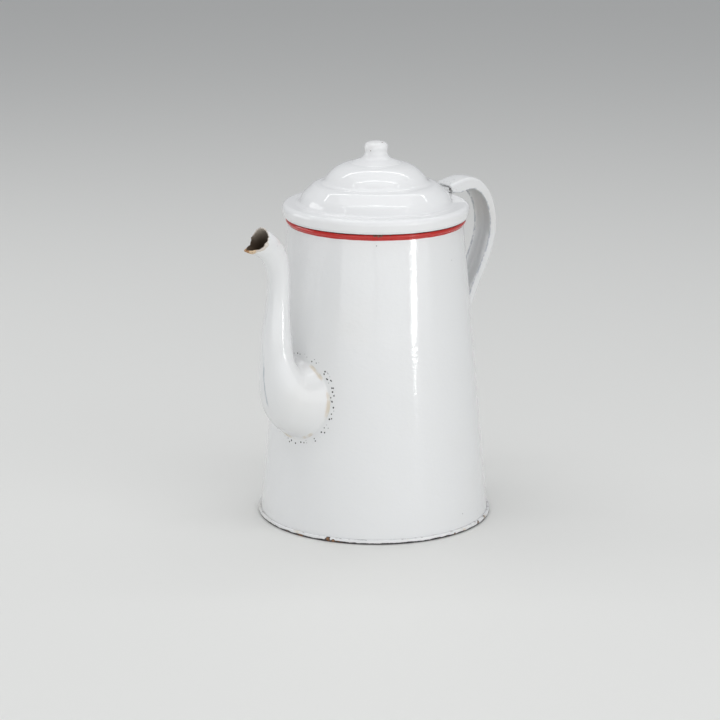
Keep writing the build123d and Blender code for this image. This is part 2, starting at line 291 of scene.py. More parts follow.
# Shader group for a chip: a ragged spot about a point, down to the dark ground coat, with rust in it
chip, chip_in, chip_out = shader_group(
    "enamel_chip",
    [("Centre", "Vector", (0, 0, 0)), ("Radius", "Float", 0.001), ("Ragged", "Float", 0.5)],
    [("Chip", "Float"), ("Heart", "Float")],
)
chip_at = stretched(chip)
gap = chip.nodes.new("ShaderNodeVectorMath")
gap.operation = "DISTANCE"
chip.links.new(chip_at, gap.inputs[0])
chip.links.new(chip_in.outputs["Centre"], gap.inputs[1])
share = maths(chip, "DIVIDE", gap.outputs["Value"], chip_in.outputs["Radius"])
rough = minus(chip, noise_of(chip, chip_at, 900.0, 3.0, 0.6), 0.5)
share = plus(chip, share, times(chip, rough, times(chip, chip_in.outputs["Ragged"], 3.0)))
chip.links.new(ramp(chip, share, 1.0, 0.85), chip_out.inputs["Chip"])
chip.links.new(ramp(chip, share, 0.75, 0.45), chip_out.inputs["Heart"])

# Shader group for age: faint grey specks and a warm stain that comes and goes over the surface
age, age_in, age_out = shader_group(
    "enamel_age",
    [("Enamel", "Color", wall_colour), ("Specks", "Float", 0.5), ("Stain", "Float", 0.2)],
    [("Color", "Color")],
)
age_at = stretched(age)
cells = age.nodes.new("ShaderNodeTexVoronoi")
cells.inputs["Scale"].default_value = 95.0
age.links.new(age_at, cells.inputs["Vector"])
few = ramp(age, noise_of(age, age_at, 38.0, 2.0), 0.60, 0.68)
dots = times(age, ramp(age, cells.outputs["Distance"], 0.055, 0.035), few)
tone = noise_of(age, age_at, 14.0, 3.0)
stained = blend(
    age,
    times(age, ramp(age, tone, 0.52, 0.75), age_in.outputs["Stain"]),
    age_in.outputs["Enamel"],
    warm_stain,
)
specked = blend(age, times(age, dots, age_in.outputs["Specks"]), stained, speck_grey)
age.links.new(specked, age_out.inputs["Color"])


def group_node(tree, group, **values):
    """Places a shader group in a material with its own values."""
    node = tree.nodes.new("ShaderNodeGroup")
    node.node_tree = group
    for label, value in values.items():
        wire(tree, node, label.replace("_", " "), value)
    return node


def enamel(name, colour, roughness=0.10, ripple=0.5, peel=0.10, bump=0.10, specks=0.5, stain=0.15):
    """A glossy enamel with its age. Returns the material, its tree, shader and colour."""
    material = bpy.data.materials.new(name)
    material.use_nodes = True
    tree = material.node_tree
    shader = tree.nodes["Principled BSDF"]
    shader.inputs["Roughness"].default_value = roughness
    shader.inputs["IOR"].default_value = 1.52
    old = group_node(tree, age, Enamel=colour, Specks=specks, Stain=stain)
    relief = tree.nodes.new("ShaderNodeBump")
    relief.inputs["Distance"].default_value = bump * mm
    uneven = group_node(tree, gloss, Ripple=ripple, Peel=peel)
    tree.links.new(uneven.outputs["Height"], relief.inputs["Height"])
    tree.links.new(relief.outputs[0], shader.inputs["Normal"])
    tree.links.new(old.outputs["Color"], shader.inputs["Base Color"])
    return material, tree, shader, old.outputs["Color"]


def chipped(tree, shader, base, spots):
    """Lays chips over a colour: each spot is a centre in millimetres, a radius and a raggedness."""
    bare, heart = 0.0, 0.0
    for centre, radius, ragged in spots:
        node = group_node(
            tree,
            chip,
            Centre=tuple(c * mm for c in centre),
            Radius=radius * mm,
            Ragged=ragged,
        )
        bare = maths(tree, "MAXIMUM", node.outputs["Chip"], bare)
        heart = maths(tree, "MAXIMUM", node.outputs["Heart"], heart)
    layered(tree, shader, base, bare, heart, 0.10)


def layered(tree, shader, base, bare, heart, roughness):
    """Ground coat where bare, rust at its heart, and roughness to match."""
    patches = ramp(tree, noise_of(tree, stretched(tree), 700.0, 3.0), 0.35, 0.65)
    rust = blend(tree, patches, rust_colour, bright_rust)
    under = blend(tree, heart, ground_coat, rust)
    colour = blend(tree, bare, base, under)
    tree.links.new(colour, shader.inputs["Base Color"])
    tree.links.new(plus(tree, times(tree, bare, 0.6), roughness), shader.inputs["Roughness"])
    return colour


def object_axis(tree, axis):
    """One of the object coordinates, in millimetres."""
    split_node = tree.nodes.new("ShaderNodeSeparateXYZ")
    tree.links.new(stretched(tree, (1000, 1000, 1000)), split_node.inputs[0])
    return split_node.outputs[axis]


wall_enamel, tree, shader, colour = enamel(
    "wall_enamel", wall_colour, ripple=1.0, bump=0.085, specks=0.55, stain=0.05
)
# The red band covers the curled rim. Its lower edge wanders a little.
z_mm = object_axis(tree, "Z")
wander = times(tree, minus(tree, noise_of(tree, stretched(tree), 120.0), 0.5), 0.5)
band = ramp(tree, plus(tree, z_mm, wander), rim_z - 2.45, rim_z - 2.25)
colour = blend(tree, band, colour, red_colour)
# Painted shade in the groove between the red rim and the lid: a dark line on the top of the bead, where the
# lid's brim shades it
gap_shade_noise = noise_of(tree, stretched(tree, (1, 1, 0.3)), 90.0, 3.0)
painted_gap_shade = ramp(tree, plus(tree, z_mm, times(tree, gap_shade_noise, 0.7)), rim_z + 1.45, rim_z + 1.75)
colour = blend(tree, painted_gap_shade, colour, gap_shade_colour)
# Pinholes in the enamel along the weld of the spout: dots in a band about a squared ring
spout_z, ring_half_width, ring_half_height, ring_power = 85.8, 29.0, 28.0, 2.4
x_mm, y_mm = object_axis(tree, "X"), object_axis(tree, "Y")
sideways = maths(tree, "DIVIDE", maths(tree, "ABSOLUTE", y_mm), ring_half_width)
across = maths(tree, "POWER", sideways, ring_power)
rise = maths(tree, "ABSOLUTE", minus(tree, z_mm, spout_z))
upward = maths(tree, "POWER", maths(tree, "DIVIDE", rise, ring_half_height), ring_power)
ring = maths(tree, "POWER", plus(tree, across, upward), 1 / ring_power)
off_ring = maths(tree, "ABSOLUTE", minus(tree, ring, 1.0))
holes = tree.nodes.new("ShaderNodeTexVoronoi")
holes.inputs["Scale"].default_value = 520.0
tree.links.new(stretched(tree), holes.inputs["Vector"])
near_ring = ramp(tree, off_ring, 0.060, 0.035)
some = ramp(tree, noise_of(tree, stretched(tree), 130.0, 2.0), 0.38, 0.46)
front = ramp(tree, x_mm, -40.0, -45.0)
pinholes = times(tree, ramp(tree, holes.outputs["Distance"], 0.34, 0.24), near_ring)
pinholes = times(tree, times(tree, pinholes, some), front)
colour = blend(tree, pinholes, colour, ground_coat)
chipped(
    tree,
    shader,
    colour,
    [
        ((-37.0, -43.2, 193.0), 1.0, 0.5),
        ((-35.4, -44.6, 193.0), 1.15, 0.5),
        ((-33.9, -45.8, 193.1), 0.9, 0.6),
        ((-29.2, -48.9, 193.0), 0.6, 0.4),
        ((-35.6, -43.4, 186.4), 0.42, 0.3),
        ((-30.2, -47.3, 187.6), 0.34, 0.4),
        ((-28.6, -48.3, 187.2), 0.30, 0.4),
    ],
)
wall_low, curl_z = 2.2, rim_z - 1.9
wall_section = (
    straight((wall_at(wall_low), wall_low), (wall_at(curl_z), curl_z), 90)
    + arc((wall_rim, rim_z), bead, -75, 180, 26)
    + straight((wall_rim - bead + 0.15, rim_z - 1.2), (wall_at(rim_z - 3) - sheet, rim_z - 3), 4)
    + straight((wall_at(rim_z - 5) - sheet, rim_z - 5), (wall_at(wall_low) - sheet, wall_low), 60)
    + [(wall_at(wall_low), wall_low)]
)
wall = turned_piece("can_wall", wall_section, wall_enamel, around=320, waves=0.14, scale=22.0, seed=4.0)
# The strainer behind the spout: round holes in two rings about a middle one, punched in the wall
strainer_z, strainer_hole, strainer_pitch, punch_length = 86.0, 2.2, 7.5, 24
punch, given, made = new_tree(
    "strainer_punches",
    [("Radius", "Float"), ("Pitch", "Float"), ("Length", "Float"), ("Finish", "Material")],
)
punch_join = punch.nodes.new("GeometryNodeJoinGeometry")
for holes_round, pitches in ((6, 1), (12, 2)):
    ring_line = punch.nodes.new("GeometryNodeMeshCircle")
    ring_line.inputs["Vertices"].default_value = holes_round
    punch.links.new(times(punch, given.outputs["Pitch"], pitches), ring_line.inputs["Radius"])
    punch.links.new(ring_line.outputs[0], punch_join.inputs[0])
middle_point = punch.nodes.new("GeometryNodeMeshLine")
middle_point.inputs["Count"].default_value = 1
punch.links.new(middle_point.outputs[0], punch_join.inputs[0])
pin_shape = punch.nodes.new("GeometryNodeMeshCylinder")
pin_shape.inputs["Vertices"].default_value = 24
punch.links.new(given.outputs["Radius"], pin_shape.inputs["Radius"])
punch.links.new(given.outputs["Length"], pin_shape.inputs["Depth"])
on_points = punch.nodes.new("GeometryNodeInstanceOnPoints")
punch.links.new(punch_join.outputs[0], on_points.inputs["Points"])
punch.links.new(pin_shape.outputs["Mesh"], on_points.inputs["Instance"])
real = punch.nodes.new("GeometryNodeRealizeInstances")
finish = punch.nodes.new("GeometryNodeSetMaterial")
punch.links.new(on_points.outputs[0], real.inputs[0])
punch.links.new(real.outputs[0], finish.inputs["Geometry"])
punch.links.new(given.outputs["Finish"], finish.inputs["Material"])
punch.links.new(finish.outputs[0], made.inputs["Geometry"])
punches = baked(
    "punches",
    bpy.data.meshes.new("punches_start"),
    punch,
    {
        "Radius": strainer_hole * mm,
        "Pitch": strainer_pitch * mm,
        "Length": punch_length * mm,
        "Finish": wall_enamel,
    },
)
to_wall = Matrix.Translation((-wall_at(strainer_z) * mm, 0, strainer_z * mm))
punches.data.transform(to_wall @ Matrix.Rotation(math.pi / 2, 4, "Y"))
punched = wall.modifiers.new("punched", "BOOLEAN")
punched.object = punches
punched.solver = "EXACT"
bpy.context.view_layer.update()
with_holes = bpy.data.meshes.new_from_object(wall.evaluated_get(bpy.context.evaluated_depsgraph_get()))
wall.modifiers.clear()
wall.data = with_holes
bpy.data.objects.remove(punches)
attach(wall, "pot")
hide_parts("body_shell")

# Bottom: a steel disc let up inside the wall and folded round its flange. The fold is the ring
# that the pot stands on, where the enamel has worn through to a dark line.
foot = 75.0
foot_rise = 4.0
fold_top = 2.94
foot_enamel, tree, shader, colour = enamel("foot_enamel", wall_colour, ripple=0.3, bump=0.05, stain=0.3)
z_mm = object_axis(tree, "Z")
edge_noise = noise_of(tree, stretched(tree), 160.0, 3.0, 0.6)
worn_line = ramp(tree, minus(tree, z_mm, times(tree, edge_noise, 1.9)), 0.45, 0.05)
dashes = ramp(tree, noise_of(tree, stretched(tree, (1, 1, 0.2)), 260.0, 2.0), 0.56, 0.64)
from_top = maths(tree, "ABSOLUTE", minus(tree, z_mm, 2.85))
top_line = times(tree, ramp(tree, from_top, 0.25, 0.10), dashes)
worn = maths(tree, "MAXIMUM", worn_line, times(tree, top_line, 0.35))
tea = noise_of(tree, stretched(tree), 60.0, 2.0)
colour = blend(tree, times(tree, ramp(tree, tea, 0.58, 0.70), 0.55), colour, (0.62, 0.50, 0.27, 1))
colour = layered(tree, shader, colour, worn, ramp(tree, edge_noise, 0.60, 0.70), 0.12)
chipped(
    tree,
    shader,
    colour,
    [
        ((-66.5, -34.5, 1.6), 1.9, 0.5),
        ((-64.8, -37.6, 0.9), 1.3, 0.6),
        ((28.7, -69.3, 1.9), 1.2, 0.5),
        ((38.5, -64.3, 2.2), 1.1, 0.6),
        ((4.0, -74.9, 0.7), 1.0, 0.5),
    ],
)
fold_gap, fold_round = 0.12, 0.75
skirt = wall_at(foot_rise) - sheet - fold_gap
foot_section = (
    [(0.0, foot_rise - sheet), (skirt - sheet - 1.5, foot_rise - sheet)]
    + arc((skirt - sheet - 1.5, foot_rise - sheet - 0.8), 0.8, 90, 0, 5)
    + straight((skirt - sheet - 0.7, 1.2), (skirt - sheet - 0.5, 0.5), 3)
    + arc((skirt - sheet, 0.5), 0.5, 180, 270, 4)
    + arc((foot - fold_round, fold_round), fold_round, -90, 0, 8)
    + arc((foot - fold_round, fold_top - fold_round), fold_round, 0, 90, 8)
    + [(wall_at(fold_top) + fold_gap, fold_top - 0.05)]
    + [(wall_at(wall_low) + fold_gap, 2.1), (skirt, 2.1), (skirt, foot_rise), (0.0, foot_rise)]
)
bottom = turned_piece("folded_foot", foot_section, foot_enamel, around=320, waves=0.06, seed=9.0)
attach(bottom, "pot")
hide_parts("bottom_plate")

# Spout: two pressed halves of the same sheet, welded edge to edge and then welded to the wall
# over the strainer, with the enamel flowing over both seams. Its mouth is worn to rusty steel.
spout_sheet = 1.0
spout_stations = [
    (56.0, 113.0, 61.3, 58.5, 27.2),
    (61.5, 111.5, 66.6, 60.0, 25.4),
    (65.0, 110.2, 70.4, 62.6, 24.0),
    (66.8, 109.6, 74.6, 65.7, 22.5),
    (67.9, 109.8, 79.4, 70.0, 20.6),
    (68.6, 110.5, 83.9, 77.5, 18.6),
    (69.2, 111.9, 87.2, 87.5, 15.9),
    (69.7, 114.5, 89.2, 100.0, 13.1),
    (70.1, 119.5, 89.4, 113.5, 10.9),
    (70.6, 128.5, 89.0, 127.5, 9.6),
    (71.0, 142.0, 86.7, 142.5, 7.9),
    (70.9, 160.0, 84.8, 160.5, 7.0),
    (72.7, 178.0, 86.7, 172.4, 7.4),
    (80.3, 190.8, 92.0, 179.2, 8.2),
    (90.6, 198.3, 99.2, 182.6, 8.9),
    (102.0, 204.4, 109.8, 187.6, 9.2),
]
mouth_cut = [
    (186.6, 103.6),
    (188.0, 99.8),
    (189.2, 96.2),
    (191.0, 92.6),
    (193.2, 90.9),
    (197.0, 90.3),
    (230.0, 90.3),
]
lip_reach, lip_side, lip_taper = 103.2, -0.4, 0.155
spout_sides, spout_rings, spout_fillet, spout_seam = 96, 150, 1.2, 0.30
# The skin is first sampled finely, and the mouth is looked for only past its middle
skin_steps, below_mouth = 900, 500


def smooth_through(knots, values, wanted):
    """Natural cubic curve through rows of values, read at the wanted places."""
    knots, values = np.asarray(knots, float), np.asarray(values, float)
    steps = np.diff(knots)
    count = len(knots)
    system, right = np.zeros((count, count)), np.zeros_like(values)
    system[0, 0] = system[-1, -1] = 1
    for i in range(1, count - 1):
        system[i, i - 1 : i + 2] = steps[i - 1], 2 * (steps[i - 1] + steps[i]), steps[i]
        right[i] = 6 * ((values[i + 1] - values[i]) / steps[i] - (values[i] - values[i - 1]) / steps[i - 1])
    bend = np.linalg.solve(system, right)
    spot = np.clip(np.searchsorted(knots, wanted) - 1, 0, count - 2)
    step, after = steps[spot][:, None], (np.asarray(wanted) - knots[spot])[:, None]
    before = step - after
    return (
        (bend[spot] * before**3 + bend[spot + 1] * after**3) / (6 * step)
        + (values[spot] / step - bend[spot] * step / 6) * before
        + (values[spot + 1] / step - bend[spot + 1] * step / 6) * after
    )


def ring_grid(inset, fine):
    """Points of the spout's skin: rings by sides, drawn in by the sheet for the inner skin."""
    stations = np.array(spout_stations)
    middles = np.stack([(stations[:, 0] + stations[:, 2]) / 2, (stations[:, 1] + stations[:, 3]) / 2], 1)
    knots = np.r_[0, np.cumsum(np.hypot(*np.diff(middles, axis=0).T))]
    shares = smooth_through(knots, stations, np.linspace(0, knots[-1], fine))
    near, far, half_width = shares[:, 0:2], shares[:, 2:4], shares[:, 4]
    middle, reach = (near + far) / 2, (far - near) / 2
    half_depth = np.hypot(reach[:, 0], reach[:, 1])
    out = reach / half_depth[:, None]
    turns = np.arange(spout_sides) / spout_sides * math.tau
    depth = (half_depth[:, None] - inset) * np.cos(turns)
    width = (half_width[:, None] - inset) * np.sin(turns)
    points = np.empty((fine, spout_sides, 3))
    points[..., 0] = -(middle[:, None, 0] + out[:, None, 0] * depth)
    points[..., 1] = width
    points[..., 2] = middle[:, None, 1] + out[:, None, 1] * depth
    return points


def first_crossing(clear):
    """Where each column of a table first turns positive, as a fractional row."""
    row_at = np.argmax(clear > 0, axis=0)
    row_at = np.maximum(row_at, 1)
    picked = np.arange(clear.shape[1])
    low, high = clear[row_at - 1, picked], clear[row_at, picked]
    return row_at - 1 + low / (low - high)


def read_rows(points, rows):
    """Points of a grid at fractional rows, one row per column."""
    lower = np.clip(np.floor(rows).astype(int), 0, points.shape[0] - 2)
    share_of = (rows - lower)[:, None]
    picked = np.arange(points.shape[1])
    return points[lower, picked] * (1 - share_of) + points[lower + 1, picked] * share_of


def on_wall(points, lift):
    """Points moved level onto the wall, a little proud of it."""
    flat = np.hypot(points[:, 0], points[:, 1])
    scale = (wall_at(points[:, 2]) + lift) / flat
    return np.stack([points[:, 0] * scale, points[:, 1] * scale, points[:, 2]], 1)


def trimmed_skin(inset, rows):
    """A skin of the spout from the wall to the mouth, in a set number of rings."""
    fine = ring_grid(inset, skin_steps)
    radius = np.hypot(fine[..., 0], fine[..., 1])
    start = first_crossing(radius - wall_at(fine[..., 2]) - 0.05)
    chips = 0.45 * np.sin(fine[..., 1] * 2.3 + 0.7) * np.sin(fine[..., 2] * 1.9)
    chips = chips + 0.25 * np.sin(fine[..., 1] * 5.1)
    limit = np.interp(fine[..., 2], *zip(*mouth_cut)) - 0.35 + chips
    limit = np.minimum(limit, lip_reach - lip_taper * (fine[..., 1] - lip_side) ** 2 + chips * 0.6)
    past = -fine[..., 0] - limit
    past[:below_mouth] = -1
    end = first_crossing(past)
    skin = [read_rows(fine, start + (end - start) * share) for share in np.linspace(0, 1, rows)]
    return np.array(skin)


outer = trimmed_skin(0.0, spout_rings)
inner = trimmed_skin(spout_sheet, spout_rings)
# The fillet of the root: a curve from the wall, round the corner, up onto the spout
corner = on_wall(outer[0], 0.05)
centre = corner.mean(axis=0)
away = corner - centre
away /= np.linalg.norm(away, axis=1)[:, None]
foot_ring = on_wall(corner + away * spout_fillet, 0.03)
ring_steps = np.linalg.norm(np.diff(outer, axis=0), axis=2)
lengths = np.r_[np.zeros((1, spout_sides)), np.cumsum(ring_steps, axis=0)]
rise_row = first_crossing(lengths - spout_fillet * 1.15)
rise_ring = read_rows(outer, rise_row)
fillet = []
for share in np.linspace(0, 1, 9):
    fillet.append((1 - share) ** 2 * foot_ring + 2 * share * (1 - share) * corner + share**2 * rise_ring)
last = spout_rings - 1
body_shares = np.linspace(0, 1, spout_rings)[1:]
body_rows = [read_rows(outer, rise_row + (last - rise_row) * share) for share in body_shares]
# The welded seam along the middle plane: a low, soft ridge on the outer and inner edge
ring_turns = np.arange(spout_sides) / spout_sides * math.tau
skins = []
for number, ring_points in enumerate(body_rows):
    heart_of_ring = ring_points.mean(axis=0)
    outwards = ring_points - heart_of_ring
    outwards /= np.linalg.norm(outwards, axis=1)[:, None]
    seam = np.exp(-((np.minimum(ring_turns, math.tau - ring_turns) / 0.13) ** 2))
    seam += 0.6 * np.exp(-(((ring_turns - math.pi) / 0.13) ** 2))
    fade = min(1.0, number / 25, (spout_rings - number) / 20)
    skins.append(ring_points + outwards * (spout_seam * fade * seam)[:, None])
rim_middle = (skins[-1] + inner[-1]) / 2
rim_out = skins[-1] - skins[-4]
rim_out /= np.linalg.norm(rim_out, axis=1)[:, None]
rim = rim_middle + rim_out * 0.4
closing = [on_wall(inner[0], 0.03)]
all_rings = fillet + skins + [rim] + list(inner[::-3]) + closing
spout_mesh = bmesh.new()
new_layer = spout_mesh.verts.layers.float.new
bore_layer, rim_layer, root_layer = (new_layer(label) for label in ("bore", "rim", "root"))
grid_verts = [[spout_mesh.verts.new(Vector(p) * mm) for p in ring_points] for ring_points in all_rings]
rim_ring = len(fillet) + len(skins)
for number, ring_verts in enumerate(grid_verts):
    for vert in ring_verts:
        vert[bore_layer] = 1.0 if number > rim_ring else 0.0
        vert[rim_layer] = max(0.0, 1 - abs(number - rim_ring) / (3.5 if number < rim_ring else 1.5))
        vert[root_layer] = max(0.0, 1 - max(0, number - 6) / 12)
ring_total = len(grid_verts)
for i in range(ring_total):
    for j in range(spout_sides):
        k, n = (i + 1) % ring_total, (j + 1) % spout_sides
        spout_mesh.faces.new((grid_verts[i][j], grid_verts[i][n], grid_verts[k][n], grid_verts[k][j]))
spout = bpy.data.objects.new("spout", bpy.data.meshes.new("spout"))
spout_mesh.to_mesh(spout.data)
spout_mesh.free()
bpy.context.scene.collection.objects.link(spout)
tidy_faces(spout, 60)
spout_enamel, tree, shader, colour = enamel(
    "spout_enamel", wall_colour, ripple=0.8, bump=0.035, stain=0.08
)


def painted(tree, label):
    """An attribute of the mesh, as a value."""
    node = tree.nodes.new("ShaderNodeAttribute")
    node.attribute_name = label
    return node.outputs["Fac"]


root_tan = (0.56, 0.45, 0.29, 1)
rub_grey = (0.30, 0.34, 0.39, 1)
# A shaded and a lit copy of the bore's brown: the darker one is painted shade deep in the bore
bore_shaded_brown, bore_lit_brown = (0.085, 0.060, 0.040, 1), (0.46, 0.41, 0.35, 1)
worn_cream = (0.44, 0.35, 0.25, 1)
tip_cream, tip_orange = (0.62, 0.47, 0.31, 1), (0.36, 0.155, 0.050, 1)
x_mm, y_mm, z_mm = (object_axis(tree, axis) for axis in "XYZ")
everywhere = stretched(tree)
# Tan stain in the corner at the root, and a blue-grey rub along the outer seam
root_noise = noise_of(tree, everywhere, 75.0, 3.0)
root_stain = ramp(tree, times(tree, painted(tree, "root"), root_noise), 0.44, 0.62)
colour = blend(tree, times(tree, root_stain, 0.55), colour, root_tan)
rub_noise = noise_of(tree, stretched(tree, (1, 1, 0.35)), 420.0, 3.0, 0.6)
off_seam = plus(tree, maths(tree, "ABSOLUTE", y_mm), times(tree, rub_noise, 3.0))
rub = times(tree, ramp(tree, off_seam, 2.6, 1.2), ramp(tree, x_mm, -80.0, -84.0))
rub = times(tree, rub, times(tree, ramp(tree, z_mm, 80.0, 90.0), ramp(tree, z_mm, 118.0, 110.0)))
colour = blend(tree, times(tree, rub, 0.8), colour, rub_grey)
# The bore is brown with coffee, and its darkening further down is painted shade deep in the narrow bore;
# the rim is worn to a cream undercoat
brown_noise = noise_of(tree, everywhere, 180.0, 4.0, 0.6)
bore_depth_shade = ramp(tree, plus(tree, z_mm, times(tree, brown_noise, 6.0)), 189.0, 201.0)
bore_brown_and_shade = blend(tree, bore_depth_shade, bore_shaded_brown, bore_lit_brown)
colour = blend(tree, ramp(tree, painted(tree, "bore"), 0.2, 0.8), colour, bore_brown_and_shade)
lip_noise = noise_of(tree, everywhere, 340.0, 4.0, 0.65)
rim_worn = ramp(tree, times(tree, painted(tree, "rim"), plus(tree, lip_noise, 0.35)), 0.42, 0.66)
colour = blend(tree, times(tree, rim_worn, 0.55), colour, worn_cream)
# The tip of the lip has lost its enamel and rusted
tip = plus(tree, x_mm, times(tree, minus(tree, lip_noise, 0.5), 9.0))
tip_bare = ramp(tree, tip, -98.6, -100.4)
tip_rust = blend(tree, ramp(tree, lip_noise, 0.44, 0.58), tip_cream, tip_orange)
tip_pits = ramp(tree, noise_of(tree, everywhere, 620.0, 2.0), 0.60, 0.68)
tip_rust = blend(tree, tip_pits, tip_rust, ground_coat)
colour = blend(tree, tip_bare, colour, tip_rust)
tree.links.new(colour, shader.inputs["Base Color"])
dull = maths(tree, "MAXIMUM", tip_bare, times(tree, painted(tree, "bore"), 0.6))
tree.links.new(plus(tree, times(tree, dull, 0.6), 0.07), shader.inputs["Roughness"])
spout.data.materials.append(spout_enamel)
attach(spout, "pot")
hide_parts("spout_left_half", "spout_right_half")

# Handle: a strap of sheet pressed into a channel, its back rounded over and its open side
# towards the wall. The lower end is welded to the wall and the upper end carries the hinge.
pin_x, pin_z = 58.3, 204.5
handle_line = [
    (-1.9, 3.1),
    (7.7, 5.4),
    (17.7, 6.1),
    (28.9, 0.7),
    (37.6, -12.3),
    (40.1, -29.2),
    (35.5, -47.0),
    (26.3, -65.0),
    (17.9, -83.5),
    (11.3, -100.0),
    (0.7, -127.5),
]
handle_sheet = 1.0
handle_end_width, handle_width, handle_taper = 17.0, 14.2, 30.0
handle_depth, handle_flare, handle_corner = 7.0, 1.0, 2.4
handle_rings, spine_steps = 140, 700
line_points = np.array(handle_line) + (pin_x, pin_z)
line_knots = np.r_[0, np.cumsum(np.hypot(*np.diff(line_points, axis=0).T))]
line_fine = np.linspace(0, line_knots[-1], spine_steps)
spine = smooth_through(line_knots, line_points, line_fine)
spine_way = np.gradient(spine, line_fine, axis=0)
spine_way /= np.linalg.norm(spine_way, axis=1)[:, None]


def sheet_share(y):
    """How much of the sheet's thickness lies below the back: all of it, fading out down the sides."""
    return 1 if y > -handle_corner else max(0.0, 1 + (y + handle_corner) / 1.5)


def channel(half, depth):
    """Closed outline of the channel: across and below the back, with rounded free edges."""
    radius, flare = handle_corner, handle_flare
    free_edge = (half + flare * min(1.0, depth / handle_depth), -depth)
    outside = [free_edge, (half + 0.35, -(depth + radius) / 2)]
    outside += arc((half - radius, -radius), radius, 0, 90, 7)
    outside += [(x, 0.25 * (1 - (x / (half - radius)) ** 2)) for x in np.linspace(half - radius, 0, 6)[1:]]
    outside += [(-x, y) for x, y in outside[-2::-1]]
    inside = [(x * (1 - handle_sheet / (half + 0.5)), y) for x, y in outside]
    inside = [(x, y - handle_sheet * sheet_share(y)) for x, y in inside]
    edge = 0.42
    first_edge = ((outside[0][0] + inside[0][0]) / 2, outside[0][1] - edge)
    last_edge = (-first_edge[0], first_edge[1])
    return outside + [last_edge] + inside[::-1] + [first_edge]


# At the hinge the sides are cut away above the brim, and they reach full depth beyond it
hinge_floor, shallow_x, full_x = 203.0, 59, 64
rows = []
for place_at, way, along in zip(spine, spine_way, line_fine):
    taper = max(0.0, 1 - along / handle_taper) ** 1.2
    half = (handle_width + (handle_end_width - handle_width) * taper) / 2
    lower = place_at[1] - hinge_floor
    depth = handle_depth
    if place_at[0] <= full_x:
        growth = max(0, (place_at[0] - shallow_x) / (full_x - shallow_x))
        depth = min(handle_depth, lower + (handle_depth - lower) * growth)
    outline = channel(half, depth)
    rows.append([(place_at[0] - way[1] * h, w, place_at[1] + way[0] * h) for w, h in outline])
strip = np.array(rows)
clear_of_wall = wall_at(strip[..., 2]) + 0.05 - np.hypot(strip[..., 0], strip[..., 1])
clear_of_wall[:spine_steps // 2] = -1
handle_end = first_crossing(clear_of_wall)
handle_rows = [read_rows(strip, handle_end * share) for share in np.linspace(0, 1, handle_rings)]
handle_mesh = bmesh.new()
edge_layer = handle_mesh.verts.layers.float.new("edge")
grid_verts = [[handle_mesh.verts.new(Vector(p) * mm) for p in row_points] for row_points in handle_rows]
points_round = len(grid_verts[0])
one_side = points_round // 2 - 1
free_edges = {0, 1, points_round - 1, points_round - 2, one_side - 1, one_side, one_side + 1}
for row_verts in grid_verts:
    for number in free_edges:
        row_verts[number][edge_layer] = 1.0
for i in range(handle_rings - 1):
    for j in range(points_round):
        n = (j + 1) % points_round
        here_row, next_row = grid_verts[i], grid_verts[i + 1]
        handle_mesh.faces.new((here_row[j], here_row[n], next_row[n], next_row[j]))
for end_ring in (grid_verts[0], grid_verts[-1]):
    for j in range(one_side - 1):
        k = 2 * one_side - j
        handle_mesh.faces.new((end_ring[j], end_ring[j + 1], end_ring[k - 1], end_ring[k]))
    handle_mesh.faces.new((end_ring[-1], end_ring[0], end_ring[2 * one_side]))
    handle_mesh.faces.new((end_ring[one_side - 1], end_ring[one_side], end_ring[one_side + 1]))
handle = bpy.data.objects.new("handle_channel", bpy.data.meshes.new("handle_channel"))
handle_mesh.to_mesh(handle.data)
handle_mesh.free()
bpy.context.scene.collection.objects.link(handle)
tidy_faces(handle, 60)
handle_enamel, tree, shader, colour = enamel(
    "handle_enamel", wall_colour, roughness=0.09, ripple=0.8, bump=0.06, specks=0.8
)
edge_blue = (0.36, 0.39, 0.44, 1)
everywhere = stretched(tree)
wear_noise = noise_of(tree, everywhere, 360.0, 4.0, 0.6)
edge_wear = ramp(tree, times(tree, painted(tree, "edge"), wear_noise), 0.36, 0.56)
rubbed = blend(tree, times(tree, edge_wear, 0.7), colour, edge_blue)
# Dark specks where the enamel is thin at the hinge end
end_only = ramp(tree, object_axis(tree, "X"), 68.0, 63.0)
end_specks = times(tree, ramp(tree, noise_of(tree, everywhere, 780.0, 2.0), 0.66, 0.72), end_only)
rubbed = blend(tree, times(tree, end_specks, 0.8), rubbed, ground_coat)
tree.links.new(rubbed, shader.inputs["Base Color"])
handle.data.materials.append(handle_enamel)
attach(handle, "pot")
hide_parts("handle")

# Lid: one sheet pressed to a dome in two steps, with a flat brim turned down over the rim
lid_colour = (0.775, 0.78, 0.785, 1)
lid_enamel = enamel(
    "lid_enamel", lid_colour, roughness=0.05, ripple=0.5, bump=0.022, specks=0.4, stain=0.05
)[0]


def chained(start, heading, steps):
    """Points of a section that runs on from a start as tangent arcs and straights: each step is
    a radius and an angle turned, or None and a length."""
    points, spot, way = [tuple(start)], np.array(start, float), heading
    for radius, amount in steps:
        if radius is None:
            move = np.array([math.cos(way), math.sin(way)]) * amount
            count = max(1, round(amount / 1.2))
            points += [tuple(spot + move * (i + 1) / count) for i in range(count)]
            spot = spot + move
            continue
        bend_side = math.copysign(1, amount)
        pivot = spot + np.array([-math.sin(way), math.cos(way)]) * radius * bend_side
        total = math.radians(abs(amount))
        count = max(3, round(total * radius / 0.8), round(total / 0.12))
        for i in range(count):
            swung = way + bend_side * total * (i + 1) / count
            points.append(tuple(pivot - np.array([-math.sin(swung), math.cos(swung)]) * radius * bend_side))
        way += bend_side * total
        spot = np.array(points[-1])
    return points


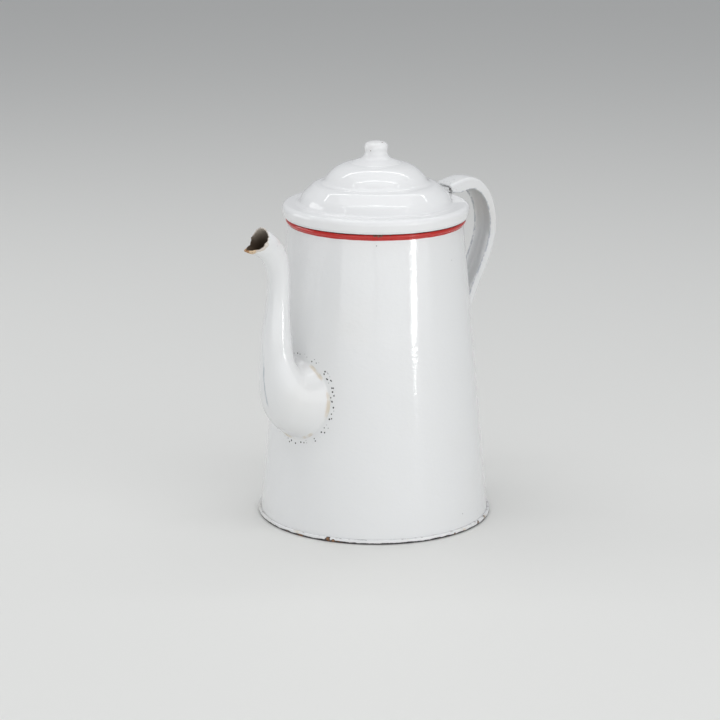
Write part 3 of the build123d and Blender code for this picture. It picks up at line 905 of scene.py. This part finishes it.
def sheeted(line, thickness):
    """Closed section of a sheet below a line, with a rounded far end."""
    line = np.array(line)
    ways = np.gradient(line, axis=0)
    ways /= np.linalg.norm(ways, axis=1)[:, None]
    below = line + np.stack([ways[:, 1], -ways[:, 0]], 1) * thickness
    below[0] = (max(line[0][0], 0.0), line[0][1] - thickness)
    middle_of_end = (line[-1] + below[-1]) / 2
    across_end = (line[-1] - below[-1]) / 2
    swung = [
        tuple(middle_of_end + across_end * math.cos(a) + ways[-1] * thickness / 2 * math.sin(a))
        for a in np.linspace(0, math.pi, 7)[1:-1]
    ]
    return [tuple(p) for p in line] + swung + [tuple(p) for p in below[::-1]]


lid_line = chained(
    (0, 229.3),
    0.0,
    [
        (110.0, -8.6),
        (22.0, -50.7),
        (4.75, 55.1),
        (8.8, -39.8),
        (None, 5.5),
        (8.3, -22.9),
        (None, 2.3),
        (2.5, 66.9),
    ],
)
brim_z, brim_edge, brim_round, brim_lip = 202.5, 59.2, 3.2, 3.7
lid_line = [p for p in lid_line if p[1] > brim_z + 0.02]
lid_line += straight((lid_line[-1][0] + 0.5, brim_z), (brim_edge - brim_round, brim_z), 5)
lid_line += chained((brim_edge - brim_round, brim_z), 0.0, [(brim_round, -99.0), (None, brim_lip)])[1:]
lid_section = sheeted(lid_line, sheet)
lid = turned_piece("lid", lid_section, lid_enamel, around=320, waves=0.12, scale=26.0, seed=2.0)
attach(lid, "lid")
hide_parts("lid_shell")

# Collar inside the lid: a flat ring let into the brim, which rests on the rim, turned down into
# a short collar that keeps the lid central. It is enamelled with the lid.
seat_z = rim_z + bead + 0.3
collar_line = chained((57.4, seat_z + sheet), math.pi, [(None, 3.9), (1.2, 90.0), (None, 5.4)])
collar_far = np.array(collar_line)
collar_ways = np.gradient(collar_far, axis=0)
collar_ways /= np.linalg.norm(collar_ways, axis=1)[:, None]
collar_near = collar_far + np.stack([-collar_ways[:, 1], collar_ways[:, 0]], 1) * sheet
collar_section = [tuple(p) for p in (*collar_far, *collar_near[::-1], collar_far[0])]
collar = turned_piece("lid_collar_ring", collar_section, lid_enamel, around=200)
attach(collar, "lid")
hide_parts("lid_collar")

# Knob: pressed hollow from sheet, on a flared foot welded to the top of the dome
knob_sheet = 0.7
knob_line = chained((0, 241.9), 0.0, [(15.5, -20.9), (3.1, -87.5), (5.2, 86.0), (None, 6.9)])
knob_enamel, tree, shader, colour = enamel("knob_enamel", lid_colour, bump=0.05)
chipped(tree, shader, colour, [((0.9, -4.6, 240.9), 0.55, 0.6), ((-6.6, -2.6, 236.4), 0.35, 0.5)])
knob_section = sheeted(knob_line, knob_sheet)
knob_piece = turned_piece(
    "knob_cap", knob_section, knob_enamel, around=128, waves=0.25, scale=70.0, seed=7.0
)
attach(knob_piece, "lid")
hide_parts("knob")

# Hinge and rim wire, kept as solids: a steel pin through a loop bent from the lid's own sheet, a
# strip that ties the handle's end to the wall, and the wire that the rim of the can is curled over
steel, _, shader, _ = enamel(
    "worn_steel",
    (0.30, 0.29, 0.28, 1),
    roughness=0.42,
    ripple=0.6,
    peel=0.4,
    bump=0.03,
    specks=0.9,
    stain=0.6,
)
shader.inputs["Metallic"].default_value = 1.0
loop_enamel, tree, shader, colour = enamel("loop_enamel", lid_colour, ripple=0.4, bump=0.03, specks=0.3)
thin = ramp(tree, noise_of(tree, stretched(tree), 620.0, 3.0), 0.68, 0.74)
layered(tree, shader, colour, times(tree, thin, 0.8), ramp(tree, thin, 0.5, 1.0), 0.10)
for kept, coat in (
    ("rim_wire", steel),
    ("hinge_pin", steel),
    ("handle_bracket", handle_enamel),
    ("lid_hinge_loop", loop_enamel),
):
    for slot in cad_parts[kept].material_slots:
        slot.material = coat

# Floor, light and camera: a plain pale floor under soft lamps. The narrow lamps stand for the
# edges of soft boxes, which show as bright bars in the gloss.
camera_at = Vector((-1.00327, -1.19565, 0.51483))
yaw, pitch, roll, turn = -0.0061, 0.2602, 0.0047, math.radians(50)
lens, sensor = 125.83, 36.0
ahead = Vector((math.sin(yaw) * math.cos(pitch), math.cos(yaw) * math.cos(pitch), -math.sin(pitch)))
side = Vector((math.cos(yaw), -math.sin(yaw), 0))
above = side.cross(ahead)
side, above = (
    side * math.cos(roll) + above * math.sin(roll),
    above * math.cos(roll) - side * math.sin(roll),
)


def pot_frame(v):
    """A direction of the camera's survey turned into the pot's frame."""
    return Vector(
        (
            v.x * math.sin(turn) + v.y * math.cos(turn),
            -v.x * math.cos(turn) + v.y * math.sin(turn),
            v.z,
        )
    )


camera = bpy.data.objects.new("camera", bpy.data.cameras.new("camera"))
camera.data.lens = lens
camera.data.sensor_width = sensor
camera.data.clip_start = 0.05
camera.matrix_world = Matrix.Translation(camera_at) @ Matrix(
    [pot_frame(side), pot_frame(above), -pot_frame(ahead)]
).transposed().to_4x4()
bpy.context.scene.collection.objects.link(camera)
bpy.context.scene.camera = camera


floor_half, floor_colour, floor_roughness = 6, (0.76, 0.76, 0.74, 1), 0.6
floor_mesh = bpy.data.meshes.new("floor")
floor_corners = [(x * floor_half, y * floor_half, 0) for x, y in ((-1, -1), (1, -1), (1, 1), (-1, 1))]
floor_mesh.from_pydata(floor_corners, [], [(0, 1, 2, 3)])
floor_finish = bpy.data.materials.new("floor")
floor_finish.use_nodes = True
floor_shader = floor_finish.node_tree.nodes["Principled BSDF"]
floor_shader.inputs["Base Color"].default_value = floor_colour
floor_shader.inputs["Roughness"].default_value = floor_roughness
floor_mesh.materials.append(floor_finish)
floor = bpy.data.objects.new("floor", floor_mesh)
bpy.context.scene.collection.objects.link(floor)

pot_middle = Vector((0, 0, 0.12))
picture_right = (0.766, -0.643)


def lamp(name, start, end, breadth, glow):
    """A long flat lamp between two places, in metres, turned to the pot. Its glow is its radiance."""
    start, end = Vector(start), Vector(end)
    at, along = (start + end) / 2, (end - start).normalized()
    back = (at - pot_middle).normalized()
    back = (back - along * back.dot(along)).normalized()
    data = bpy.data.lights.new(name, "AREA")
    data.shape = "RECTANGLE"
    data.size, data.size_y = (end - start).length, breadth
    data.energy = glow * math.pi * data.size * data.size_y
    holder = bpy.data.objects.new(name, data)
    facing = Matrix([along, back.cross(along), back]).transposed().to_4x4()
    holder.matrix_world = Matrix.Translation(at) @ facing
    bpy.context.scene.collection.objects.link(holder)


def overhead(forward, sideways, height):
    """A place over the pot: towards the camera, to the picture's right, and up, in metres."""
    x_right, y_right = picture_right
    return (y_right * forward + x_right * sideways, -x_right * forward + y_right * sideways, height)


lamp("ceiling", overhead(-1.0, 0, 1.75), overhead(1.0, 0, 1.75), 2.0, 0.80)
lamp("front_left", (-1.885, -0.238, 0.45), (-1.235, -1.465, 0.45), 0.9, 1.30)
lamp("front_right", (-1.230, -1.470, 0.45), (1.00, -1.60, 0.45), 0.9, 1.25)
lamp("back_left", (-0.55, 1.50, 0.55), (-1.35, 1.00, 0.55), 0.6, 2.4)
lamp("strip_right", (0.062, -1.052, 0.036), (0.180, -1.036, 0.160), 0.085, 13.0)
lamp("edge_back", overhead(-0.62, -1.15, 1.40), overhead(-0.62, 1.15, 1.40), 0.055, 6.0)
lamp("edge_front", overhead(0.30, -0.85, 1.40), overhead(0.30, 0.85, 1.40), 0.045, 6.5)
lamp("edge_left", overhead(0.34, -0.92, 1.38), overhead(1.25, -1.45, 1.30), 0.06, 4.0)
lamp("edge_right", overhead(0.34, 0.92, 1.38), overhead(1.25, 1.45, 1.30), 0.06, 4.0)
world = bpy.data.worlds.new("studio")
world.use_nodes = True
world.node_tree.nodes["Background"].inputs["Color"].default_value = (0.9, 0.92, 0.95, 1)
world.node_tree.nodes["Background"].inputs["Strength"].default_value = 0.46
bpy.context.scene.world = world
bpy.context.scene.view_settings.view_transform = "Standard"
